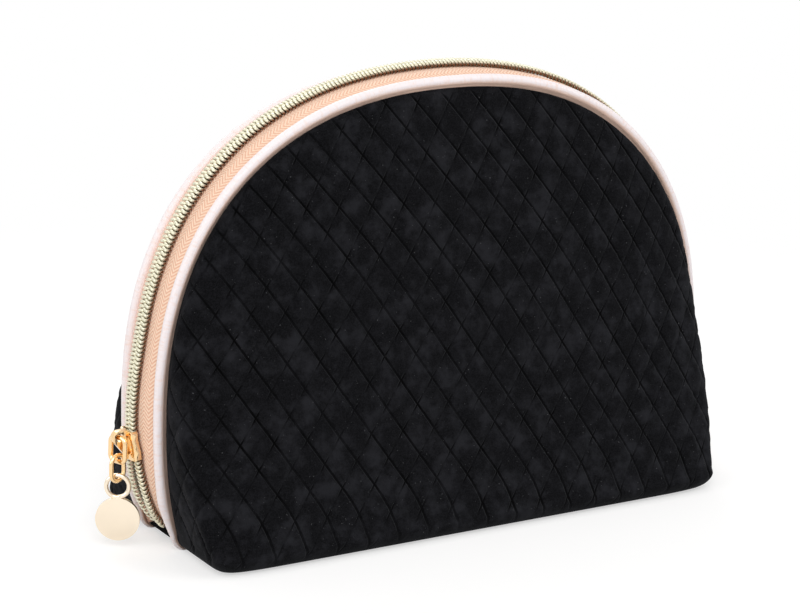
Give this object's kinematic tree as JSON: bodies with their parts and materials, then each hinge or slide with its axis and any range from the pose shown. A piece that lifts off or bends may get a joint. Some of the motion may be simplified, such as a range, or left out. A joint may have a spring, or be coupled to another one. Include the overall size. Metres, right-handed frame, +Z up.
{
  "type": "jewellery case",
  "caption": "Half-moon padded velvet jewellery case with piped seams, a zip over its arch and a disc pull; the halves lean open from a flat base.",
  "frame": {"origin": "middle of the base's underside, where the case stands", "axes": "+X along the case's width with the parked slider at -X, front face towards -Y, +Z up"},
  "size_m": [0.2377, 0.09, 0.1597],
  "materials": {
    "velvet": "deep black velvet, diamond quilted",
    "wadding": "soft white polyester wadding",
    "lining": "smooth woven lining",
    "satin": "pale pink satin",
    "cord": "twisted cotton cord",
    "tape": "peach herringbone zip tape",
    "coil": "nylon coil with a pale gold metal coat",
    "gold": "polished pale gold plating"
  },
  "bodies": {
    "base": {"base_panel": "velvet", "base_wadding": "wadding", "base_lining": "lining"},
    "front_half": {"front_panel": "velvet", "front_wadding": "wadding", "front_lining": "lining", "front_piping_cover": "satin", "front_piping_cord": "cord", "front_zip_tape": "tape", "front_zip_coil": "coil"},
    "back_half": {"back_panel": "velvet", "back_wadding": "wadding", "back_lining": "lining", "back_piping_cover": "satin", "back_piping_cord": "cord", "back_zip_tape": "tape", "back_zip_coil": "coil"},
    "slider": {"zip_slider": "gold"},
    "loop": {"pull_loop": "gold"},
    "link": {"pull_link": "gold"},
    "disc": {"pull_disc": "gold"}
  },
  "joints": [
    {"name": "slider_travel", "type": "hinge", "parent": "base", "child": "slider", "pos_m": [0, 0, 0.0461], "axis": [0, 1, 0], "range_deg": [0, 190]},
    {"name": "front_open", "type": "hinge", "parent": "base", "child": "front_half", "pos_m": [0, -0.039, 0.006], "axis": [1, 0, 0], "range_deg": [0, 12], "deforming": ["front_zip_coil"]},
    {"name": "back_open", "type": "hinge", "parent": "base", "child": "back_half", "pos_m": [0, 0.039, 0.006], "axis": [-1, 0, 0], "range_deg": [0, 12], "deforming": ["back_zip_coil"]},
    {"name": "loop_swing", "type": "hinge", "parent": "slider", "child": "loop", "pos_m": [-0.11711, 0, 0.03886], "axis": [-0.342, 0.9397, 0], "range_deg": [0, 120]},
    {"name": "link_swing", "type": "hinge", "parent": "loop", "child": "link", "pos_m": [-0.11739, -0.0001, 0.03057], "axis": [-0.342, 0.9397, 0], "range_deg": [0, 35]},
    {"name": "disc_swing", "type": "hinge", "parent": "link", "child": "disc", "pos_m": [-0.11739, -0.0001, 0.02367], "axis": [-0.9397, -0.342, 0], "range_deg": [-20, 20]}
  ],
  "couplings": [
    {"joint": "front_open", "follows": "slider_travel", "ratio": 0.06315},
    {"joint": "back_open", "follows": "slider_travel", "ratio": 0.06315}
  ]
}
